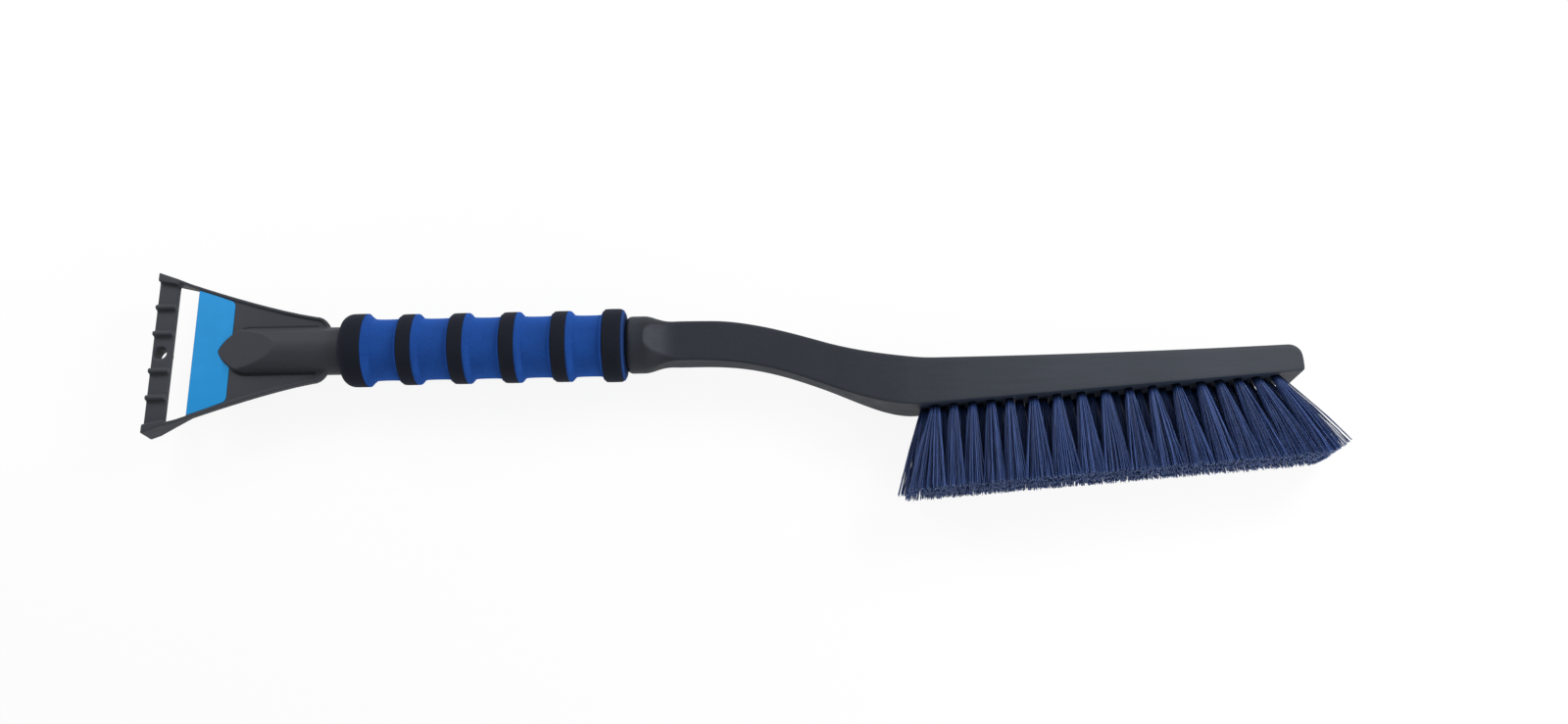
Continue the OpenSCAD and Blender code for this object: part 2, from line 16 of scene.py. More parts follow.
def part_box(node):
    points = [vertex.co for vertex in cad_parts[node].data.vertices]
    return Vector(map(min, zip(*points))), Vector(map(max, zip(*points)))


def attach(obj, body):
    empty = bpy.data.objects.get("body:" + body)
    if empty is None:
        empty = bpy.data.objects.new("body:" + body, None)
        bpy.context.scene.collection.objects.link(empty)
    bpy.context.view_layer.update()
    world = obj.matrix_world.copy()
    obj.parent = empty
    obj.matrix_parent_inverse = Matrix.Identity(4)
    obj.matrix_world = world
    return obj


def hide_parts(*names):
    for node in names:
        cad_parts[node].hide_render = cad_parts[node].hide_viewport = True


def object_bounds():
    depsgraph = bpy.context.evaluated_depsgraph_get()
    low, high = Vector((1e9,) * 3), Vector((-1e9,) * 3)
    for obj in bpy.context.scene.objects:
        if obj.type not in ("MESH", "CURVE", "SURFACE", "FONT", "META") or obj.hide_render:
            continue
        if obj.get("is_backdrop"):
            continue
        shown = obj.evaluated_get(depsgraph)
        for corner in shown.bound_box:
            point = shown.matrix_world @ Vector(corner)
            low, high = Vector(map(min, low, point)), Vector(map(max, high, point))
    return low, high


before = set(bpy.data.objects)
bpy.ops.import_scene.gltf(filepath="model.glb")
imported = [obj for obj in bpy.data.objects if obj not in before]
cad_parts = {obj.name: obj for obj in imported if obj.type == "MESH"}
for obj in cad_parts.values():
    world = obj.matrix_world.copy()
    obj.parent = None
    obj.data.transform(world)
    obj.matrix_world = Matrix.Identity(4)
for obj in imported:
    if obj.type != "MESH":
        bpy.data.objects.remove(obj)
cad_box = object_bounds()
scene = bpy.context.scene
scene.view_settings.view_transform = "Standard"
print("solids in the frame:", len(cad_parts))

# %% [markdown]
# ## The broom's own ruler
# Everything on this broom is laid out along its handle, so we measure from there: x runs
# from the scraper's front edge to the brush's toe, y points away from the bristles, and z
# points up from the middle of the grip. The boxes of the end rings and the head give the
# zero point. Lengths are easier to think about in millimetres, so `spot` turns them into
# the metres that the scene uses.

# %% Zero point and ruler
MM = 0.001
ring_low, ring_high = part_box("front_end_ring")
grip_middle = (ring_low + ring_high) / 2
ZERO = Vector((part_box("scraper_head")[0].x, grip_middle.y, grip_middle.z))


def spot(x, y, z):
    """A place on the broom, in millimetres, as a point of the scene."""
    return ZERO + Vector((x, y, z)) * MM


def on_broom(points):
    """Scene points as an array of millimetres on the broom."""
    return (np.asarray(points, float) - np.array(ZERO)) / MM


def solid_points(node):
    """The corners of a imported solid, in millimetres on the broom."""
    return on_broom([v.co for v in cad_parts[node].data.vertices])


grip_start = solid_points("front_end_ring")[:, 0].min()
grip_end = solid_points("grip_end_disc")[:, 0].max()
toe_end = solid_points("brush_body")[:, 0].max()
print(f"grip {grip_start:.1f} to {grip_end:.1f} mm, toe at {toe_end:.1f} mm")

# %% [markdown]
# ## Camera
# The broom lies on its side, and we look down on it from about 75 centimetres, a little
# from the bristle side. That shows the deck under the block and the trimmed ends. The
# camera is turned by about one degree, so that the handle climbs slightly to the right.

# %% Camera above the broom
LENS, SENSOR = 33.3, 36
VIEW_TILT = math.radians(18)
VIEW_ROLL = math.radians(1.15)
VIEW_DISTANCE = 754.8 * MM
VIEW_MIDDLE = (329.1, -10.9, 0)

along = Vector((1, 0, 0))
up = Vector((0, math.cos(VIEW_TILT), math.sin(VIEW_TILT)))
back = along.cross(up)
right = along * math.cos(VIEW_ROLL) - up * math.sin(VIEW_ROLL)
top = along * math.sin(VIEW_ROLL) + up * math.cos(VIEW_ROLL)
camera = bpy.data.objects.new("camera", bpy.data.cameras.new("camera"))
camera.data.lens = LENS
camera.data.sensor_width = SENSOR
turned = Matrix((right, top, back)).transposed().to_4x4()
camera.matrix_world = Matrix.Translation(spot(*VIEW_MIDDLE) + back * VIEW_DISTANCE) @ turned
scene.collection.objects.link(camera)
scene.camera = camera
print("camera at", [round(c, 3) for c in camera.location])

# %% [markdown]
# ## Light
# A plain studio: an even white room, two soft lamps that stand low beyond the handle, and
# a weak one on the bristle side. The strongest stands past the brush's toe and the next
# past the blade, so the two ends are brighter than the neck, and no flat face mirrors a
# lamp. The weak one opens the shadow under the block. The room is white to the camera and
# in reflections, and dimmer as a source of light, so that colours come out about as they
# are written.

# %% White room
ROOM_LIGHT = 0.42


def seen_directly(nodes, links):
    """1 for camera, mirror and glass rays, 0 for the rays that carry light to a surface."""
    rays = nodes.new("ShaderNodeLightPath")
    seen = rays.outputs["Is Camera Ray"]
    for kind in ("Is Glossy Ray", "Is Transmission Ray"):
        either = nodes.new("ShaderNodeMath")
        either.operation = "MAXIMUM"
        links.new(seen, either.inputs[0])
        links.new(rays.outputs[kind], either.inputs[1])
        seen = either.outputs[0]
    return seen


room = bpy.data.worlds.new("room")
room.use_nodes = True
scene.world = room
nodes, links = room.node_tree.nodes, room.node_tree.links
nodes["Background"].inputs["Color"].default_value = (1, 1, 1, 1)
nodes["Background"].inputs["Strength"].default_value = ROOM_LIGHT
white = nodes.new("ShaderNodeBackground")
white.inputs["Color"].default_value = (1, 1, 1, 1)
white.inputs["Strength"].default_value = 1
choose = nodes.new("ShaderNodeMixShader")
links.new(seen_directly(nodes, links), choose.inputs[0])
links.new(nodes["Background"].outputs[0], choose.inputs[1])
links.new(white.outputs[0], choose.inputs[2])
links.new(choose.outputs[0], nodes["World Output"].inputs["Surface"])
print("room lights at", ROOM_LIGHT)

# %% Lamps
# Each lamp has its place in millimetres, its width and height in metres, and its watts.
LAMPS = {
    "toe_lamp": ((850, 350, 420), (0.4, 0.3), 3.9),
    "blade_lamp": ((-250, 400, 420), (0.4, 0.3), 2.5),
    "bristle_lamp": ((770, -400, 240), (0.4, 0.3), 1.5),
}
LAMP_AIM = (300, -20, 0)

for name, (place, extent, watts) in LAMPS.items():
    lamp = bpy.data.lights.new(name, "AREA")
    lamp.shape = "RECTANGLE"
    lamp.size, lamp.size_y = extent
    lamp.energy = watts
    holder = bpy.data.objects.new(name, lamp)
    holder.location = spot(*place)
    aim = spot(*LAMP_AIM) - holder.location
    holder.rotation_euler = aim.to_track_quat("-Z", "Y").to_euler()
    scene.collection.objects.link(holder)
print("lamps:", ", ".join(LAMPS))

# %% [markdown]
# ## Floor
# The broom rests on the two end rings of its grip, at height zero. The floor is a wide
# pale sheet. To the camera it is mostly white paper that glows by itself, with enough
# plain matt surface left in it to keep the broom's soft shadow.

# %% Floor sheet
FLOOR_HALF = 3.0
FLOOR_GLOW = 0.9
PAPER_WHITE = 0.93

sheet_mesh = bpy.data.meshes.new("floor")
corners = [(-1, -1), (1, -1), (1, 1), (-1, 1)]
sheet_mesh.from_pydata([(x * FLOOR_HALF, y * FLOOR_HALF, 0) for x, y in corners], [],
                       [(0, 1, 2, 3)])
floor = bpy.data.objects.new("floor", sheet_mesh)
scene.collection.objects.link(floor)
paper = bpy.data.materials.new("floor paper")
paper.use_nodes = True
nodes, links = paper.node_tree.nodes, paper.node_tree.links
matt = nodes["Principled BSDF"]
matt.inputs["Base Color"].default_value = (PAPER_WHITE, PAPER_WHITE, PAPER_WHITE, 1)
matt.inputs["Roughness"].default_value = 0.95
matt.inputs["Specular IOR Level"].default_value = 0.1
glow = nodes.new("ShaderNodeEmission")
glow.inputs["Color"].default_value = (1, 1, 1, 1)
glow.inputs["Strength"].default_value = 1.0
share = nodes.new("ShaderNodeMath")
share.operation = "MULTIPLY"
share.inputs[1].default_value = FLOOR_GLOW
links.new(seen_directly(nodes, links), share.inputs[0])
blend = nodes.new("ShaderNodeMixShader")
links.new(share.outputs[0], blend.inputs[0])
links.new(matt.outputs[0], blend.inputs[1])
links.new(glow.outputs[0], blend.inputs[2])
links.new(blend.outputs[0], nodes["Material Output"].inputs["Surface"])
floor.data.materials.append(paper)
floor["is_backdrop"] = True
print("floor laid,", 2 * FLOOR_HALF, "metres wide")

# %% [markdown]
# ## Building finishes
# Each finish is a small network of nodes. The helpers below make the few parts that all
# of them share: speckle at a given grain size, a blend between two colours, a number that
# follows the speckle, a number that the mesh carries, and tiny bumps. Every piece lies in
# the same frame, so the pieces' own coordinates are metres and a grain size can be given
# in millimetres.

# %% Helpers for finishes
def finish(name):
    """A new material with its nodes, its links and its main shader."""
    material = bpy.data.materials.new(name)
    material.use_nodes = True
    tree = material.node_tree
    return material, tree.nodes, tree.links, tree.nodes["Principled BSDF"]


def own_place(nodes):
    """A point's place on its piece, in metres."""
    return nodes.new("ShaderNodeTexCoord").outputs["Object"]


def mark_of(nodes, name):
    """A number that the mesh carries at each of its points, under a name."""
    mark = nodes.new("ShaderNodeAttribute")
    mark.attribute_name = name
    return mark.outputs["Fac"]


def speckle(nodes, links, grain, stretch=(1, 1, 1), detail=3.0):
    """Random speckle whose grains are about grain millimetres across, drawn out by stretch."""
    scale = nodes.new("ShaderNodeMapping")
    scale.inputs["Scale"].default_value = [1 / (grain * MM * s) for s in stretch]
    links.new(own_place(nodes), scale.inputs["Vector"])
    noise = nodes.new("ShaderNodeTexNoise")
    noise.inputs["Scale"].default_value = 1
    noise.inputs["Detail"].default_value = detail
    links.new(scale.outputs[0], noise.inputs["Vector"])
    return noise.outputs["Fac"]


print("a grain of 1 mm is a scale of", round(1 / MM), "to the metre")


# %% More helpers for finishes
def follow(nodes, links, factor, low, high, start=0.3, end=0.7):
    """A number that runs from low to high as factor runs from start to end."""
    step = nodes.new("ShaderNodeMapRange")
    step.inputs["From Min"].default_value = start
    step.inputs["From Max"].default_value = end
    step.inputs["To Min"].default_value = low
    step.inputs["To Max"].default_value = high
    links.new(factor, step.inputs["Value"])
    return step.outputs["Result"]


def tint(nodes, links, factor, dark, light):
    """A colour between dark and light. Either may be a colour or another node's output."""
    mixer = nodes.new("ShaderNodeMix")
    mixer.data_type = "RGBA"
    links.new(factor, mixer.inputs["Factor"])
    for socket, colour in ((mixer.inputs[6], dark), (mixer.inputs[7], light)):
        if isinstance(colour, tuple):
            socket.default_value = (*colour, 1)
        else:
            links.new(colour, socket)
    return mixer.outputs[2]


def bumps(nodes, links, shader, height, depth, strength):
    """Makes the surface follow a height pattern, depth millimetres deep."""
    bump = nodes.new("ShaderNodeBump")
    bump.inputs["Distance"].default_value = depth * MM
    bump.inputs["Strength"].default_value = strength
    links.new(height, bump.inputs["Height"])
    links.new(bump.outputs[0], shader.inputs["Normal"])


print("helpers ready: follow, tint and bumps")

# %% [markdown]
# ## Moulded plastic
# Head, neck and block are injection-moulded polypropylene, coloured charcoal with a cool
# cast. Up close it has a fine spark-eroded grain and faint flow marks along the part. Its
# convex edges are painted paler, as a painted highlight. The colour is mixed from a dark
# and a pale charcoal by how far a point lies from the broom's middle, so the bar and the
# block come out paler than the neck. The head is another batch of plastic, a shade warmer
# than the brush. Painted shade and painted highlights that lie in one place only can't come
# from such a rule. They follow marks that the brush's mesh will carry.

# %% Tones of the plastic
NECK_TONES = (0.0165, 0.0195, 0.0260), (0.0205, 0.0240, 0.0315)
HEAD_TONES = (0.0335, 0.0345, 0.0420), (0.0405, 0.0415, 0.0500)
BRUSH_TONES = (0.0310, 0.0355, 0.0450), (0.0375, 0.0420, 0.0530)
FLOW_TONE = (0.056, 0.062, 0.076)
GRAIN_TONE = (0.050, 0.056, 0.070)
# The tone of the painted highlights, on convex edges and on the thumb facet.
HIGHLIGHT_TONE = (0.078, 0.086, 0.103)
# Tones painted where the brush's mesh is marked: painted shade on the deck and round the facet,
# a painted highlight on the facet.
MARK_TONES = {
    "deck_shade": (0.021, 0.029, 0.048),
    "facet_rim_shade": (0.0150, 0.0170, 0.0220),
    "facet_highlight": HIGHLIGHT_TONE,
}
print("marks that tint the plastic:", ", ".join(MARK_TONES))

# %% Paler towards the ends
NECK_REACH, PALE_REACH = 0.02, 0.16


def paling(nodes, links):
    """0 in the middle of the broom, 1 at both of its ends."""
    split = nodes.new("ShaderNodeSeparateXYZ")
    links.new(own_place(nodes), split.inputs[0])
    reach = nodes.new("ShaderNodeMath")
    reach.operation = "ABSOLUTE"
    links.new(split.outputs["X"], reach.inputs[0])
    return follow(nodes, links, reach.outputs[0], 0, 1, NECK_REACH, PALE_REACH)


print(f"wear starts {NECK_REACH} m from the middle and is full at {PALE_REACH} m")

# %% Charcoal plastic
CLOUD_SIZE, FLOW_WIDTH, FLOW_STRETCH, GRAIN_SIZE = 38, 2.4, 14, 0.55
FLOW_SHARE, GRAIN_SHARE, EDGE_HIGHLIGHT_SHARE = 0.22, 0.25, 0.5
FLOW_RANGE, EDGE_HIGHLIGHT_RANGE = (0.42, 0.72), (0.51, 0.58)


def charcoal_plastic(name, pale):
    """Plastic that is dark in the neck. Its two pale charcoals show at the broom's ends."""
    material, nodes, links, shader = finish(name)
    cloud = speckle(nodes, links, CLOUD_SIZE)
    flow = speckle(nodes, links, FLOW_WIDTH, stretch=(FLOW_STRETCH, 1, 1))
    grain = speckle(nodes, links, GRAIN_SIZE, detail=2)
    neck = tint(nodes, links, follow(nodes, links, cloud, 0, 1), *NECK_TONES)
    ends = tint(nodes, links, follow(nodes, links, cloud, 0, 1), *pale)
    streak = follow(nodes, links, flow, 0, FLOW_SHARE, *FLOW_RANGE)
    ends = tint(nodes, links, streak, ends, FLOW_TONE)
    colour = tint(nodes, links, paling(nodes, links), neck, ends)
    grains = follow(nodes, links, grain, 0, GRAIN_SHARE)
    colour = tint(nodes, links, grains, colour, GRAIN_TONE)
    # Painted highlight: convex edges, found by pointiness, are painted paler.
    edge = nodes.new("ShaderNodeNewGeometry").outputs["Pointiness"]
    edge_highlight = follow(nodes, links, edge, 0, EDGE_HIGHLIGHT_SHARE, *EDGE_HIGHLIGHT_RANGE)
    colour = tint(nodes, links, edge_highlight, colour, HIGHLIGHT_TONE)
    for mark, tone in MARK_TONES.items():
        colour = tint(nodes, links, mark_of(nodes, mark), colour, tone)
    links.new(colour, shader.inputs["Base Color"])
    shader.inputs["Specular IOR Level"].default_value = 0.12
    links.new(follow(nodes, links, flow, 0.46, 0.58), shader.inputs["Roughness"])
    bumps(nodes, links, shader, grain, 0.05, 0.5)
    return material


head_plastic = charcoal_plastic("head plastic", HEAD_TONES)
brush_plastic = charcoal_plastic("brush plastic", BRUSH_TONES)
print("finishes made:", head_plastic.name, "and", brush_plastic.name)

# %% [markdown]
# ## Foam
# The grip is closed-cell foam, in black and royal blue. Its cut cells make a dense matt
# speckle about half a millimetre across, and its soft skin catches a trace of light at
# grazing angles. One function makes every foam, so that they match in texture. The
# disc at the grip's end is painted a dimmer blue, as painted shade, and only its rim keeps
# that blue: towards the shoulder its face is painted near-black navy, as painted shade.

# %% Tones of the foam
BLACKS = (0.0092, 0.0112, 0.0205), (0.0135, 0.0160, 0.0275)
BLUES = (0.0115, 0.074, 0.345), (0.0160, 0.094, 0.410)
# The end disc's dimmer blues are painted shade, and so is the near-black navy of its face.
DIMMED_DISC_BLUES = (0.0120, 0.048, 0.190), (0.0160, 0.060, 0.225)
PAINTED_SHADE_BLUE = (0.0030, 0.0100, 0.045)
UNSHADED_RIM, SHADE_FADE = 1.3, 0.9
disc_points_yz = solid_points("grip_end_disc")[:, 1:]
disc_r = np.hypot(*disc_points_yz.T).max()
print(f"end disc {disc_r:.1f} mm in radius, clean from {disc_r - UNSHADED_RIM:.1f} mm")


# %% Distance from the middle line
def off_axis(nodes, links):
    """How far a point lies from the grip's middle line."""
    shift = nodes.new("ShaderNodeVectorMath")
    shift.operation = "SUBTRACT"
    shift.inputs[1].default_value = ZERO
    links.new(own_place(nodes), shift.inputs[0])
    flat = nodes.new("ShaderNodeVectorMath")
    flat.operation = "MULTIPLY"
    flat.inputs[1].default_value = (0, 1, 1)
    links.new(shift.outputs[0], flat.inputs[0])
    reach = nodes.new("ShaderNodeVectorMath")
    reach.operation = "LENGTH"
    links.new(flat.outputs[0], reach.inputs[0])
    return reach.outputs["Value"]


print(f"middle line at {ZERO.y:.3f} m across and {ZERO.z:.3f} m up")

# %% Black and blue foam
CELL_SIZE, CELL_SHADE, CELL_SHARE, CELL_RANGE = 0.45, 0.62, 0.5, (0.35, 0.75)
FOAM_CLOUD = 9


def foam_finish(name, dark, light, unshaded_r=0):
    """Foam between two tones. Nearer the axis than a given radius in millimetres it is painted
    dark, as painted shade.
    """
    material, nodes, links, shader = finish(name)
    cells = nodes.new("ShaderNodeTexVoronoi")
    cells.inputs["Scale"].default_value = 1 / (CELL_SIZE * MM)
    links.new(own_place(nodes), cells.inputs["Vector"])
    cell = cells.outputs["Distance"]
    cloud = speckle(nodes, links, FOAM_CLOUD)
    colour = tint(nodes, links, follow(nodes, links, cloud, 0, 1), dark, light)
    deep = tuple(c * CELL_SHADE for c in dark)
    hollow = follow(nodes, links, cell, 0, CELL_SHARE, *CELL_RANGE)
    colour = tint(nodes, links, hollow, colour, deep)
    # Painted shade: nearer the axis the foam turns to near-black navy.
    if unshaded_r:
        unshaded = follow(nodes, links, off_axis(nodes, links), 0, 1,
                       (unshaded_r - SHADE_FADE) * MM, unshaded_r * MM)
        colour = tint(nodes, links, unshaded, PAINTED_SHADE_BLUE, colour)
    links.new(colour, shader.inputs["Base Color"])
    links.new(follow(nodes, links, cloud, 0.82, 0.94), shader.inputs["Roughness"])
    shader.inputs["Specular IOR Level"].default_value = 0.15
    shader.inputs["Diffuse Roughness"].default_value = 1.0
    shader.inputs["Sheen Weight"].default_value = 0.12
    shader.inputs["Sheen Roughness"].default_value = 0.6
    shader.inputs["Sheen Tint"].default_value = (*(min(1, 3 * c) for c in light), 1)
    bumps(nodes, links, shader, cell, 0.08, 0.45)
    return material


black_foam = foam_finish("black foam", *BLACKS)
blue_foam = foam_finish("blue foam", *BLUES)
# The end disc: dimmed blues and a dark face near the axis, all painted shade.
disc_foam = foam_finish("end disc foam", *DIMMED_DISC_BLUES, unshaded_r=disc_r - UNSHADED_RIM)
print("finishes made:", ", ".join(m.name for m in (black_foam, blue_foam, disc_foam)))

# %% [markdown]
# ## Label film and wire
# The blue patch on the head is printed vinyl: even in colour, slightly glossy, with the
# faint ripple of a film pressed on by hand. It stays blank here. The wire anchors that
# hold the tufts are flat galvanised steel, hidden in the block.

# %% Vinyl
VINYL_BLUES = (0.003, 0.237, 0.575), (0.005, 0.267, 0.635)
VINYL_GRAIN = (0.02, 0.30, 0.66)
RIPPLE_SIZE, FILM_GRAIN, FILM_GRAIN_SHARE = 14, 0.5, 0.12


def vinyl_finish():
    """Glossy blue film with a faint ripple."""
    material, nodes, links, shader = finish("label vinyl")
    ripple = speckle(nodes, links, RIPPLE_SIZE)
    grain = speckle(nodes, links, FILM_GRAIN, detail=2)
    colour = tint(nodes, links, follow(nodes, links, ripple, 0, 1), *VINYL_BLUES)
    grains = follow(nodes, links, grain, 0, FILM_GRAIN_SHARE)
    colour = tint(nodes, links, grains, colour, VINYL_GRAIN)
    links.new(colour, shader.inputs["Base Color"])
    shader.inputs["Specular IOR Level"].default_value = 0.18
    links.new(follow(nodes, links, grain, 0.36, 0.46), shader.inputs["Roughness"])
    bumps(nodes, links, shader, ripple, 0.25, 0.25)
    return material


vinyl = vinyl_finish()
print("finish made:", vinyl.name)

# %% Steel wire
STEEL_GREYS = (0.42, 0.42, 0.41), (0.58, 0.58, 0.56)
DRAWING_MARK, DRAWING_STRETCH = 0.3, 6


def steel_finish():
    """Zinc-grey wire with fine drawing marks."""
    material, nodes, links, shader = finish("galvanised steel")
    grain = speckle(nodes, links, DRAWING_MARK, stretch=(1, DRAWING_STRETCH, 1))
    colour = tint(nodes, links, follow(nodes, links, grain, 0, 1), *STEEL_GREYS)
    links.new(colour, shader.inputs["Base Color"])
    shader.inputs["Metallic"].default_value = 1
    links.new(follow(nodes, links, grain, 0.35, 0.5), shader.inputs["Roughness"])
    bumps(nodes, links, shader, grain, 0.02, 0.4)
    return material


steel = steel_finish()
print("finish made:", steel.name)

# %% [markdown]
# ## Filament
# The bristles are drawn polypropylene filament in navy. Paler flecks drawn out along each
# strand are painted highlights, no two strands have quite the same tone, and the trimmed
# ends are paler because the cut scatters light. Near the block the strands are painted
# almost black, as painted shade where the packed tuft lets no light in. Each strand will
# carry three numbers on its mesh: its own tone, how near each point is to the cut end,
# and its distance from the root.

# %% Navy filament
STRAND_TONES = (0.005, 0.017, 0.068), (0.044, 0.088, 0.275)
CUT_TONES = (0.008, 0.022, 0.085), (0.17, 0.24, 0.44)
FLECK_HIGHLIGHT_TONE = (0.060, 0.110, 0.30)
FLECK_SIZE, FLECK_HIGHLIGHT_SHARE, FLECK_HIGHLIGHT_RANGE = 0.8, 0.3, (0.45, 0.75)
# The near-black navy of the painted shade at the strands' roots.
ROOT_SHADE_TONE = (0.006, 0.011, 0.027)
DARK_ROOT, ROOT_FADE = 2.4, 2.2


def filament_finish():
    """Navy strands that start dark at the root and end pale at the cut."""
    material, nodes, links, shader = finish("navy filament")
    tone, end, root = (mark_of(nodes, m) for m in ("strand_tone", "cut_end", "from_root"))
    fleck = speckle(nodes, links, FLECK_SIZE, stretch=(1, 2, 1), detail=2)
    colour = tint(nodes, links, tone, *STRAND_TONES)
    # Painted highlights: paler flecks drawn out along the strands.
    painted_glints = follow(nodes, links, fleck, 0, FLECK_HIGHLIGHT_SHARE, *FLECK_HIGHLIGHT_RANGE)
    colour = tint(nodes, links, painted_glints, colour, FLECK_HIGHLIGHT_TONE)
    colour = tint(nodes, links, end, colour, tint(nodes, links, tone, *CUT_TONES))
    # Painted shade: the first millimetres from the root are painted near-black navy.
    clear = follow(nodes, links, root, 0, 1, DARK_ROOT, DARK_ROOT + ROOT_FADE)
    colour = tint(nodes, links, clear, ROOT_SHADE_TONE, colour)
    links.new(colour, shader.inputs["Base Color"])
    links.new(follow(nodes, links, fleck, 0.30, 0.46), shader.inputs["Roughness"])
    shader.inputs["Specular IOR Level"].default_value = 0.28
    bumps(nodes, links, shader, fleck, 0.02, 0.3)
    return material


filament = filament_finish()
print("finish made:", filament.name)

# %% [markdown]
# ## Turning numbers into pieces
# Most pieces below are worked out as arrays of points in millimetres on the broom.
# `make_piece` turns such an array into a mesh object, gives it its finish, hangs it on the
# broom's root, and hides the solids it stands for.

# %% Helpers for pieces
def make_piece(name, points, faces, material, stands_for, sharp=None):
    """A smooth-shaded object from points in millimetres on the broom."""
    mesh = bpy.data.meshes.new(name)
    place = np.asarray(points, float) * MM + np.array(ZERO)
    mesh.from_pydata(place.tolist(), [], [tuple(f) for f in faces])
    mesh.materials.append(material)
    mesh.shade_smooth()
    if sharp is not None:
        mesh.set_sharp_from_angle(angle=math.radians(sharp))
    mesh.validate()
    piece = bpy.data.objects.new(name, mesh)
    scene.collection.objects.link(piece)
    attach(piece, "root")
    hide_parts(*stands_for)
    return piece


def put_mark(piece, name, values):
    """Writes a number on each point of a piece, for its finish to read."""
    mark = piece.data.attributes.new(name, "FLOAT", "POINT")
    mark.data.foreach_set("value", np.asarray(values, np.float32))


def ring_faces(rings, size, closed=False):
    """Faces between rings of size points each. A closed set joins the last to the first."""
    faces = []
    for i in range(rings if closed else rings - 1):
        a, b = i * size, (i + 1) % rings * size
        for k in range(size):
            n = (k + 1) % size
            faces.append((a + k, a + n, b + n, b + k))
    return faces


print("faces between two rings of four points:", len(ring_faces(2, 4)))

# %% [markdown]
# ## Scraper head
# The head is one moulding: bar, ribs, plate, rims and tube. Its shape is already right in
# the solid, but a solid has knife edges and a moulding doesn't. A bevel could round them,
# but bevels often fail on the long thin triangles of a solid like this. So we copy the
# solid's mesh, rebuild its skin from small even cells, and relax it a little. The edges
# come out softly rounded and the flats stay flat. Then we press in the narrow channel that
# runs along both sides of the tube, deeper on the bristle side. The solid leaves it out.

# %% Soften the head
HEAD_CELL = 0.42
RELAX_PASSES = 4


def softened_copy(node, name, cell, passes):
    """A copy of a solid's mesh with an even skin and rounded edges."""
    copy = bpy.data.objects.new(name + " rough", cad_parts[node].data.copy())
    scene.collection.objects.link(copy)
    skin = copy.modifiers.new("even skin", "REMESH")
    skin.mode = "VOXEL"
    skin.voxel_size = cell * MM
    relax = copy.modifiers.new("rounded edges", "SMOOTH")
    relax.factor = 0.5
    relax.iterations = passes
    ready = bpy.context.evaluated_depsgraph_get()
    mesh = bpy.data.meshes.new_from_object(copy.evaluated_get(ready))
    bpy.data.objects.remove(copy)
    mesh.materials.clear()
    mesh.name = name
    piece = bpy.data.objects.new(name, mesh)
    scene.collection.objects.link(piece)
    return piece


head = softened_copy("scraper_head", "head_moulding", HEAD_CELL, RELAX_PASSES)
print("head faces:", len(head.data.polygons))

# %% Outline of the tube
NOSE_TIP, NOSE_LENGTH, NOSE_POWER = 34.8, 18.0, 1.5
TUBE_R, PLATE_TOP = 12.5, 3.0
TUBE_HALF = math.sqrt(TUBE_R ** 2 - PLATE_TOP ** 2)


def rise(value, start, end):
    """0 up to start, 1 from end on, smooth between."""
    t = np.clip((value - start) / (end - start), 0, 1)
    return t * t * (3 - 2 * t)


def tube_side(x):
    """Half the width of the tube and its nose, at the plate's face."""
    turn = np.arccos(np.clip(1 - (x - NOSE_TIP) / NOSE_LENGTH, 0, 1))
    return np.minimum(TUBE_R * np.sin(turn) ** NOSE_POWER, TUBE_HALF)


print(f"tube {2 * TUBE_HALF:.1f} mm wide at the plate's face")

# %% Press the channels
CHANNEL_DEPTH, CHANNEL_WIDTH, CHANNEL_START, CHANNEL_END = 1.5, 1.3, 41.0, 85.5
SHALLOW_DEPTH, SHALLOW_WIDTH = 0.5, 0.8
INNER_WALL = (-0.5, 0.1)
OUTER_WALL = 0.3
RUN_IN, RUN_OUT = 5, 1.5
PLATE_BACK = (1.2, 2.2)
TUBE_SKIN = (PLATE_TOP + 0.6, PLATE_TOP + 1.6)


def press_channel(mesh):
    """Presses a narrow channel into the plate along both sides of the tube."""
    flat = np.empty(len(mesh.vertices) * 3)
    mesh.vertices.foreach_get("co", flat)
    place = on_broom(flat.reshape(-1, 3))
    x, y, z = place.T
    gap = np.abs(y) - tube_side(x)
    width = np.where(y > 0, SHALLOW_WIDTH, CHANNEL_WIDTH)
    depth = np.where(y > 0, SHALLOW_DEPTH, CHANNEL_DEPTH)
    across = rise(gap, *INNER_WALL) * (1 - rise(gap, width - OUTER_WALL, width + OUTER_WALL))
    run = rise(x, CHANNEL_START, CHANNEL_START + RUN_IN) \
        * (1 - rise(x, CHANNEL_END, CHANNEL_END + RUN_OUT))
    face = rise(z, *PLATE_BACK) * (1 - rise(z, *TUBE_SKIN))
    place[:, 2] -= depth * across * run * face
    mesh.vertices.foreach_set("co", (place * MM + np.array(ZERO)).ravel())
    mesh.update()


press_channel(head.data)
print("channels pressed", CHANNEL_DEPTH, "and", SHALLOW_DEPTH, "mm deep")

# %% Dress the head
head.data.materials.append(head_plastic)
head.data.shade_smooth()
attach(head, "root")
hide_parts("scraper_head")
print("head dressed in", head_plastic.name)

# %% [markdown]
# ## Label and anchors
# These two solids are right as they are, so they stay, and only their finish changes.

# %% Dress the label and the anchors
for node, material in (("label", vinyl), ("tuft_anchors", steel)):
    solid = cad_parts[node]
    solid.data.materials.clear()
    solid.data.materials.append(material)
print("label and anchors dressed")

# %% [markdown]
# ## Brush body
# Neck and block are one long moulding whose section changes all the way: round at the
# shoulder, cut by a sloping flat on each side, a flat strap through the bend, and a deep
# bar over the bristles. A bevelled curve would carry one section along the bend and could
# only scale it, while a loft can change it. So we work out one closed section for each
# station along the handle, then skin them. The sizes are those of the solid.

